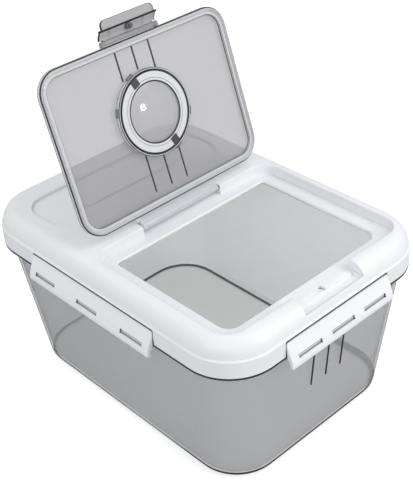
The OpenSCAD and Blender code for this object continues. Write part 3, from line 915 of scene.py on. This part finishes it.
class Flap(Assembly):
    """Clear flap with its border, seal, hinge leaf, clasp ears and accent lines, drawn closed."""

    half_w = 107.0
    half_d = 76.5
    mid_y = -63.0
    radius = 22.0
    top = 172.2
    plate = 169.2
    border = 166.7
    border_w = 7.0
    groove_in = 1.2
    groove_w = 2.6
    seal_low = 164.3
    leaf_half = 47.3
    root_half = 51.5
    root_end = 18.0
    leaf_low = 168.8
    barrel_r = 3.8
    line_start = -131.5
    line_stop = 1.5
    faded = 0.85  # share of the plate's tint that its lower face goes without
    bite = 0.2  # how far the leaf and the ears reach into the flap
    ear_x = 30.7
    ear_half = 1.6
    pin_r = 1.0
    pin_half = 31.0

    def around(self, profile: np.ndarray) -> np.ndarray:
        """Carry an (inset, height) profile round the flap's plan."""
        return plan_rings(profile, self.half_w, self.half_d, self.radius, (0.0, self.mid_y), 12)

    def panel(self) -> Piece:
        """Plate and grooved border: one profile from the upper face's middle round to the lower's."""
        middle = 12.5
        left, right = self.groove_in, self.groove_in + self.groove_w
        corners = [
            (middle, self.top, SHARP),
            (0.0, self.top, 1.2),
            (0.0, self.border, 0.5),
            (left, self.border, 0.3),
            (left, self.plate, 0.2),
            (right, self.plate, 0.2),
            (right, self.border, 0.3),
            (self.border_w, self.border, 0.9),
            (self.border_w, self.plate, 0.6),
            (middle, self.plate, SHARP),
        ]
        profile = fine(filleted(corners, steps=5))
        inset, height = profile.T
        band = BAND * (inset < self.border_w + 0.3) * (height < self.plate + 0.2)
        wall = 0.4 * (inset < 0.4)
        # painted shade: dark lines along the border's edges and corners
        marks = [
            (0.35, self.top - 0.35, 1.0, LINE),
            (0.1, self.border + 0.1, 0.8, LINE),
            (self.border_w - 0.2, self.border + 0.2, 0.3, 0.95),
            (self.border_w, self.plate - 0.2, 0.7, LINE),
        ]
        thin = -self.faded * (inset > self.border_w + 0.3) * (height < self.plate + 0.1)
        edge = np.maximum.reduce([band, wall, strokes(profile, marks)]) + thin
        return opened_object("flap_panel", [Skin(self.around(profile), edge=edge)])

    def leaf(self) -> Piece:
        """Hinge leaf that runs into its barrel: a flat run, then an arc about the hinge axis."""
        heights = (self.top - HINGE[1], self.leaf_low - HINGE[1])
        start, stop = (math.atan2(up, -math.sqrt(self.barrel_r**2 - up**2)) for up in heights)
        arc = circle(HINGE, self.barrel_r, np.linspace(start, stop, 28))
        root = self.mid_y + self.half_d - self.bite
        high, low, end = self.top, self.leaf_low, self.root_end
        outline = np.concatenate([[(root, high)], arc, [(root, low)]])
        thick = np.array([(root, high), (end, high), (end, low), (root, low)])
        skins = [Skin(prism(outline, self.leaf_half)), Skin(prism(thick, self.root_half))]
        return bevelled(opened_object("flap_leaf", skins), width=0.5)

    def ears(self) -> Piece:
        """Two ears that hold the clasp's pin: each a half-round lug carried a short way along X."""
        half_turn = np.linspace(0.5 * math.pi, 1.5 * math.pi, 14)
        arc = circle(Clasp.axis, Clasp.barrel_r, half_turn)
        root = self.mid_y - self.half_d + self.bite
        tail = [(root, Clasp.axis[1] - Clasp.barrel_r), (root, Clasp.axis[1] + Clasp.barrel_r)]
        outline = np.concatenate([arc, tail])
        skins = [Skin(prism(outline, self.ear_half, side * self.ear_x), edge=0.8) for side in PAIR]
        return bevelled(opened_object("clasp_ears", skins), width=0.35)

    def lines(self) -> Piece:
        """Three raised accent lines on the upper face, broken where the desiccant holder sits."""
        tray_y = Holder.centre[1]
        low, high = self.top - 0.5, self.top + 0.6
        skins = []
        for side in THREE:
            x = side * LINE_PITCH
            chord = math.sqrt(Holder.tray_r**2 - x * x)
            for start, stop in ((self.line_start, tray_y - chord), (tray_y + chord, self.line_stop)):
                centre = (x, 0.5 * (start + stop))
                bar = block(0.5 * LINE_W, 0.5 * (stop - start), 0.5 * LINE_W, low, high, 0.3, centre)
                skins.append(Skin(bar, edge=LINE))
        return opened_object("flap_lines", skins)

    def seal(self) -> Piece:
        """Seal in the border's groove with a narrower lip, a closed profile carried round."""
        gap = 0.06
        step = 0.75
        left, right = self.groove_in + gap, self.groove_in + self.groove_w - gap
        shoulder = self.border - 0.6
        corners = [
            (left, self.plate - gap, 0.2),
            (right, self.plate - gap, 0.2),
            (right, shoulder, 0.3),
            (right - step, shoulder, 0.25),
            (right - step, self.seal_low, 0.6),
            (left + step, self.seal_low, 0.6),
            (left + step, shoulder, 0.25),
            (left, shoulder, 0.3),
        ]
        profile = filleted(corners, True, 3)
        return opened_object("seal_ring", [Skin(self.around(profile), ring_rows=True)])

    def build(self) -> None:
        """Make and fit the flap's pieces."""
        self.fit(self.panel(), "flap", "flap_clear", Finish.FLAP, ["flap"])
        self.fit(self.leaf(), "flap", "flap_clear", Finish.LEAF)
        self.fit(self.ears(), "flap", "flap_clear", Finish.FLAP)
        self.fit(self.lines(), "flap", "flap_clear", Finish.FLAP)
        self.fit(self.seal(), "flap", "seal_clear", Finish.SEAL, ["flap_seal"])
        wire = Skin(rod(self.pin_r, self.pin_half, Clasp.axis))
        self.fit(opened_object("clasp_wire", [wire]), "flap", "pin_steel", Finish.WIRE, ["clasp_pin"])


# ---------- clasp


class Clasp(Assembly):
    """Pull clasp: barrel, curved plate, edge rib, narrower lip, accent lines and peg, drawn closed."""

    axis = (-142.3, 169.8)
    barrel_r = 2.4
    half_w = 28.8
    wing_half = 32.3
    wing_start = 3.0
    lip_half = 30.1
    reach = 20.0
    plate_end = 11.0
    thick = 2.0
    top_z = 172.4
    lip_top = 166.6
    corner = 5.0
    line_in = 0.9
    peg_out = 7.4
    bend_from = 3.5
    bend = 10.0
    bar_t = 1.6
    bar_h = 2.9
    bar_in = 0.6
    end_band = 0.35

    def top(self, out: np.ndarray) -> np.ndarray:
        """Height of the upper face: it eases from the flap's level down to the lip's."""
        return self.top_z + (self.lip_top - self.top_z) * ease((out - self.bend_from) / self.bend)

    def along(self, loops: np.ndarray, out: np.ndarray, lift: float) -> np.ndarray:
        """Set (x, height) loops along the upper face, one at each distance out, raised by the lift."""
        y = np.broadcast_to(self.axis[0] - out[:, None], loops.shape[:2])
        return np.stack([loops[..., 0], y, loops[..., 1] + self.top(out)[:, None] + lift], -1)

    def plate(self) -> Skin:
        """Plate and lip: a thin section carried outwards, narrower past the rib and rounded at the end."""
        just = 0.01
        near = [0.0, 0.5 * self.wing_start, self.wing_start - just]
        wing = np.linspace(self.wing_start, self.plate_end, 14)
        lip = np.linspace(self.plate_end + just, self.reach - self.corner, 6)
        end = self.reach - self.corner + self.corner * np.sin(np.linspace(0.1, 0.5 * math.pi - 0.02, 8))
        out = np.concatenate([near, wing, lip, end])
        half = np.where(out <= self.plate_end, self.wing_half, self.lip_half)
        half = np.where(out < self.wing_start, self.half_w, half)
        past = np.clip(out - self.reach + self.corner, 0.0, self.corner)
        half = half - (self.corner - np.sqrt(self.corner**2 - past**2))
        thin = 0.5 * self.thick
        corners = np.split(rounded_loops(half, thin, 0.7, 4), 4, axis=1)
        fade = 0.15
        right = half[:, None] + np.array([-self.line_in, -self.line_in - fade])
        across = np.concatenate([right, -right[:, ::-1]], 1)
        above = np.stack([across, np.full(across.shape, thin)], -1)
        loops = np.concatenate([corners[0], above, corners[1], corners[2], -above, corners[3]], 1)
        # painted shade: dark lines along the plate's sides and its end
        at_side = np.abs(loops[..., 0]) > half[:, None] - self.line_in - 0.05
        at_end = (out > self.reach - self.end_band)[:, None]
        return Skin(self.along(loops, out, -thin), edge=np.where(at_side | at_end, LINE, 0.1))

    def ribs(self) -> list[Skin]:
        """The bar across the plate's end and the accent lines that follow the plate's upper face."""
        back, low = self.axis[0] - self.plate_end + self.bar_in, self.lip_top - self.thick
        outline = rounded_box((back, low), (back - self.bar_t, low + self.bar_h), radius=0.4)
        skins = [Skin(prism(outline, self.wing_half), edge=LINE)]
        out = np.linspace(self.wing_start, self.plate_end, 14)
        loops = rounded_loops(np.full(len(out), 0.5 * LINE_W), 0.55, 0.5, 3)
        for side in THREE:
            skins.append(Skin(self.along(loops + (side * LINE_PITCH, 0.0), out, 0.05), edge=LINE))
        return skins

    def peg(self) -> Piece:
        """Stepped peg: a rounded head under the plate and a narrower tip, turned about its own axis."""
        tip, head = 1.8, 3.0
        low, step, high = 162.2, 164.8, 169.3
        corners = [
            (CORE, low, SHARP),
            (tip, low, 0.5),
            (tip, step, 0.2),
            (head, step, 0.4),
            (head, high, 0.3),
            (CORE, high, SHARP),
        ]
        profile = filleted(corners)
        axis = (0.0, self.axis[0] - self.peg_out)
        return opened_object("clasp_peg_turned", [Skin(lathe(profile, axis, 40))])

    def build(self) -> None:
        """Make and fit the clasp's pieces."""
        barrel = Skin(rod(self.barrel_r, self.half_w, self.axis, steps=3), edge=0.05)
        body = opened_object("clasp_plate", [self.plate(), barrel, *self.ribs()])
        self.fit(body, "clasp", "flap_clear", Finish.FLAP, ["clasp"])
        self.fit(self.peg(), "clasp", "peg_gray", Finish.PEG, ["clasp_peg"])


# ---------- latches


class Latches(Assembly):
    """Four slotted latches and their pins."""

    axis_z = 152.0
    axis_in = 1.6
    drop = 21.6
    face = 0.6
    swell = 2.7
    flare = 4.3
    lateness = 1.4  # power that holds the flare back towards the free edge
    flatten = 0.85  # share by which what stands higher than the pin is pressed down towards it
    pin_r = 1.0
    thick = 2.7
    cheek_t = 2.0
    cheek_gap = 0.6
    cheek_low = 139.0
    cheek_top = 1.6
    cheek_back = 0.15  # how far an end wall's front stays behind the latch's face
    cheek_in = 0.4
    pin_out = 4.5

    def share(self, height: np.ndarray) -> np.ndarray:
        """0 at the latch's axis and 1 at its free edge, on a quarter sine."""
        return np.sin(0.5 * math.pi * np.clip((self.axis_z - height) / self.drop, 0.0, 1.0))

    def flared(self, side: Side) -> Piece:
        """A softened copy of a packed latch whose plate swells outwards below its axis."""
        piece = softened("latch_" + side.name, width=0.5)
        points = np.empty(3 * len(piece.data.vertices))
        piece.data.vertices.foreach_get("co", points)
        points = points.reshape(-1, 3)
        out = math.radians(side.turn - 90.0)
        swell = self.flare * MM * self.share(points[:, 2] / MM) ** self.lateness
        over = np.maximum(points[:, 2] - (self.axis_z + self.pin_r) * MM, 0.0)
        points[:, 2] -= self.flatten * over
        points[:, 0] += swell * math.cos(out)
        points[:, 1] += swell * math.sin(out)
        piece.data.vertices.foreach_set("co", points.ravel())
        return piece

    def cheeks(self, side: Side) -> Piece:
        """End walls of a latch: its side view, from the flared face back almost to the skirt."""
        height = self.axis_z - self.drop * np.linspace(0.05, 0.93, 12)
        swell = self.face + self.swell * self.share(height) + self.flare * self.share(height) ** self.lateness
        front = np.stack([-side.face - swell + self.cheek_back, height], -1)
        deep, low = front[-1] + (self.thick, 0.0)
        back = -side.face - self.cheek_gap
        rear = [(deep, low), (back, self.cheek_low), (back, self.axis_z - self.cheek_top)]
        outline = np.concatenate([front, rear])
        reach = 0.5 * (side.width - self.cheek_t - self.cheek_in)
        walls = [prism(outline, 0.5 * self.cheek_t, side.shift + end * reach) for end in PAIR]
        skins = [Skin(turned(wall, side.turn)) for wall in walls]
        return bevelled(skin_object("cheeks_" + side.name, skins), width=0.3)

    def build(self) -> None:
        """Make and fit the latches, their end walls and their pins."""
        for side in SIDES:
            latch = "latch_" + side.name
            self.fit(self.flared(side), latch, "lid_white", Finish.LATCH, [latch])
            self.fit(self.cheeks(side), latch, "lid_white", Finish.LATCH)
            axis = (-side.face + self.axis_in, self.axis_z)
            bar = rod(self.pin_r, 0.5 * side.width + self.pin_out, axis, side.shift)
            pin = skin_object("pin_" + side.name, [Skin(turned(bar, side.turn))])
            self.fit(pin, "base", "pin_white", Finish.PIN, ["latch_pin_" + side.name])


# ---------- desiccant holder


class Holder(Assembly):
    """Desiccant tray under the flap and its turning cap, drawn closed."""

    centre = (0.0, -69.5)
    tray_r = 40.0
    lens_r = 28.8
    wall = 1.8
    top = 169.15
    web = 167.8
    low = 164.7
    inner_low = 166.5
    cap_r = 37.9
    cap_z = 164.7
    cap_t = 1.5
    rise = 4.0
    lens_t = 1.2
    bead_r = 0.7
    grip_deg = 68.0
    tab_turn = -50.0
    tab_out = 1.5
    tab_half = 4.0
    grip = 8.0
    ring_in = 1.4
    skirt_z = 167.5
    skirt_rise = 2.0

    def tray(self) -> Piece:
        """Channel-shaped ring turned about the holder's axis, with four tabs outside."""
        r0, r1 = self.lens_r, self.tray_r
        corners = [
            (r0, self.top, 0.2),
            (r1, self.top, 0.2),
            (r1, self.low, 0.5),
            (r1 - self.wall, self.low, 0.5),
            (r1 - self.wall, self.web, 0.3),
            (r0 + self.wall, self.web, 0.3),
            (r0 + self.wall, self.inner_low, 0.5),
            (r0, self.inner_low, 0.5),
        ]
        profile = fine(filleted(corners, True))
        # painted shade: dark lines along the tray's outer edges
        marks = [
            (r1, self.top, 0.6, 0.95),
            (r1 - 0.1, self.low + 0.1, 0.5, 0.95),
            (r1 - self.wall, self.low, 0.6, LINE),
        ]
        pale = 0.45
        edge = np.maximum(pale, strokes(profile, marks))
        skins = [Skin(lathe(profile, self.centre, 120), ring_rows=True, edge=edge)]
        for angle in (0.0, self.tab_turn, 180.0, 180.0 + self.tab_turn):
            place = (r1 + 0.5, self.centre[1])
            tab = block(self.tab_out, self.tab_half, 0.8, self.low + 1.0, self.low + 3.0, 0.4, place)
            skins.append(Skin(turned(tab, self.grip_deg + angle, self.centre), edge=0.85))
        return opened_object("tray_ring", skins)

    def cap(self) -> Piece:
        """Flat ring with an outer and an inner skirt, turned about the holder's axis."""
        r0, r1 = self.lens_r - self.ring_in, self.cap_r
        face, up = self.cap_z, self.cap_z + self.cap_t
        lip = self.lens_r - 0.3
        corners = [
            (r0, face, 0.45),
            (r1, face, 0.6),
            (r1, self.skirt_z, 0.3),
            (r1 - self.wall, self.skirt_z, 0.3),
            (r1 - self.wall, up, 0.3),
            (lip, up, 0.2),
            (lip, up + self.skirt_rise, 0.2),
            (r0, up + self.skirt_rise, 0.2),
        ]
        profile = fine(filleted(corners, True))
        # painted shade: dark lines round the cap's outer and inner edges
        marks = [
            (r1 - 0.2, face + 0.2, 1.1, LINE),
            (r0 + 0.1, face + 0.1, 1.1, LINE),
            (self.lens_r + 2.0, face, 0.3, 0.85),
        ]
        ring = Skin(lathe(profile, self.centre, 120), ring_rows=True, edge=strokes(profile, marks))
        return opened_object("cap_ring", [ring])

    def lens(self) -> Piece:
        """Shallow dome between two spheres about one centre."""
        r = self.lens_r - self.ring_in
        ball = (r * r + self.rise**2) / (2.0 * self.rise)
        centre_z = self.cap_z + self.cap_t + ball - self.rise - self.lens_t
        tip = 0.004
        radius = r * np.sin(np.linspace(tip, 0.5 * math.pi, 26))
        outer = np.stack([radius, centre_z - np.sqrt(ball**2 - radius**2)], -1)
        inner = np.stack([radius, centre_z - np.sqrt((ball - self.lens_t) ** 2 - radius**2)], -1)[::-1]
        profile = np.concatenate([outer, inner])
        # painted shade: the lens darkens to a dark line at its rim
        band = 0.7
        edge = np.clip((profile[:, 0] - r + band) / band, 0.0, 1.0)
        return opened_object("cap_window", [Skin(lathe(profile, self.centre), edge=edge)])

    def bead(self) -> Piece:
        """Bead ring: a circle carried round the holder's axis."""
        turn = np.linspace(0.0, 2.0 * math.pi, 16, endpoint=False)
        middle = (self.lens_r + self.wall + self.bead_r + 1.3, self.cap_z + self.cap_t + self.bead_r)
        profile = circle(middle, self.bead_r, turn)
        return opened_object("bead_ring", [Skin(lathe(profile, self.centre), ring_rows=True)])

    def grips(self) -> Piece:
        """Two square grips let into the cap's face."""
        mid = 0.5 * (self.lens_r + self.cap_r)
        half = 0.5 * self.grip
        pad = block(half, half, 0.9, self.cap_z - 0.5, self.cap_z + 0.7, 0.35, (mid, self.centre[1]))
        skins = [Skin(turned(pad, self.grip_deg + half_turn, self.centre)) for half_turn in (0.0, 180.0)]
        return opened_object("grip_pads", skins)

    def build(self) -> None:
        """Make and fit the holder's pieces."""
        self.fit(self.tray(), "flap", "cap_clear", Finish.CAP, ["desiccant_tray"])
        self.fit(self.cap(), "desiccant_cap", "cap_clear", Finish.CAP, ["desiccant_cap"])
        self.fit(self.lens(), "desiccant_cap", "lens_clear", Finish.LENS, ["cap_lens"])
        self.fit(self.bead(), "desiccant_cap", "bead_dark", Finish.BEAD, ["cap_o_ring"])
        self.fit(self.grips(), "desiccant_cap", "grip_gray", Finish.GRIP, ["cap_grips"])


# ---------- studio


class Studio:
    """Camera, lights, floor and background."""

    azimuth = -41.396
    elevation = 34.326
    roll = -3.856
    distance = 0.9933
    target = (0.0083, -0.00007, 0.13535)
    focal_px = 1050.32
    frame_px = 488.0
    sensor = 36.0
    white = (1.0, 1.0, 1.0, 1.0)
    soft = (0.95, 0.97, 1.0, 1.0)
    soft_strength = 0.69
    floor_tone = (0.62, 0.62, 0.62, 1.0)
    floor_lift = 0.62

    def camera(self) -> None:
        """Camera on a sphere about its target, rolled about its own axis."""
        angles = ((self.azimuth, "Z"), (90.0 - self.elevation, "X"), (self.roll, "Z"))
        yaw, pitch, roll = (Matrix.Rotation(math.radians(angle), 4, axis) for angle, axis in angles)
        data = bpy.data.cameras.new("camera")
        data.sensor_width = self.sensor
        data.lens = self.focal_px / self.frame_px * self.sensor
        data.clip_start = 0.05
        camera = placed("camera", data)
        back = Matrix.Translation((0.0, 0.0, self.distance))
        camera.matrix_world = Matrix.Translation(self.target) @ yaw @ pitch @ roll @ back
        bpy.context.scene.camera = camera

    def lamp(self, name: str, place: Colour, size: float, watts: float) -> None:
        """Square soft lamp that faces the bin."""
        data = bpy.data.lights.new(name, "AREA")
        data.shape = "SQUARE"
        data.size = size
        data.energy = watts
        lamp = placed(name, data)
        lamp.location = place
        lamp.rotation_euler = (Vector(self.target) - Vector(place)).to_track_quat("-Z", "Y").to_euler()

    def world(self) -> None:
        """White to the camera and to light sent through a surface, a softer even light otherwise."""
        world = bpy.data.worlds.new("studio")
        bpy.context.scene.world = world
        sky = Nodes(world)
        camera = sky.node("ShaderNodeLightPath", {}, "Is Camera Ray")
        seen = camera.at_least(sky.node("ShaderNodeLightPath", {}, "Is Transmission Ray"))
        soft = sky.node("ShaderNodeBackground", {"Color": self.soft, "Strength": self.soft_strength})
        white = sky.node("ShaderNodeBackground", {"Color": self.white})
        mix = sky.node("ShaderNodeMixShader", {0: seen, 1: soft, 2: white})
        sky.add("ShaderNodeOutputWorld", {"Surface": mix})

    def floor(self) -> None:
        """Pale floor, lifted to white for the camera, that still takes the bin's shadow."""
        reach = 3.0
        corners = [(-reach, -reach, 0.0), (reach, -reach, 0.0), (reach, reach, 0.0), (-reach, reach, 0.0)]
        mesh = bpy.data.meshes.new("floor")
        mesh.from_pydata(corners, [], [(0, 1, 2, 3)])
        floor = placed("floor", mesh)
        paint = Paint("floor_white")
        ray = paint.node("ShaderNodeLightPath", {}, "Is Camera Ray")
        paint.set(Base_Color=self.floor_tone, Roughness=0.22, Emission_Color=self.white)
        paint.set(Emission_Strength=ray * self.floor_lift)
        mesh.materials.append(paint.material)

    def build(self) -> None:
        """Set up the camera, the light and the floor."""
        bpy.context.scene.view_settings.view_transform = "Standard"
        self.camera()
        self.world()
        self.floor()
        self.lamp("key", (0.9, -1.3, 1.9), size=1.4, watts=12.5)
        self.lamp("fill", (-1.6, -0.6, 1.3), size=1.2, watts=7.5)
        self.lamp("rear", (-0.6, 1.1, 1.5), size=0.8, watts=2.5)
        self.lamp("glint", (0.357, -1.051, 0.58), size=0.15, watts=2.0)


def main() -> None:
    """Build the studio and every sub-assembly in order."""
    logging.basicConfig(level=logging.INFO, format="%(message)s")
    Studio().build()
    for assembly in (Tub, Lid, Flap, Clasp, Latches, Holder):
        assembly().build()


if __name__ == "__main__":
    main()
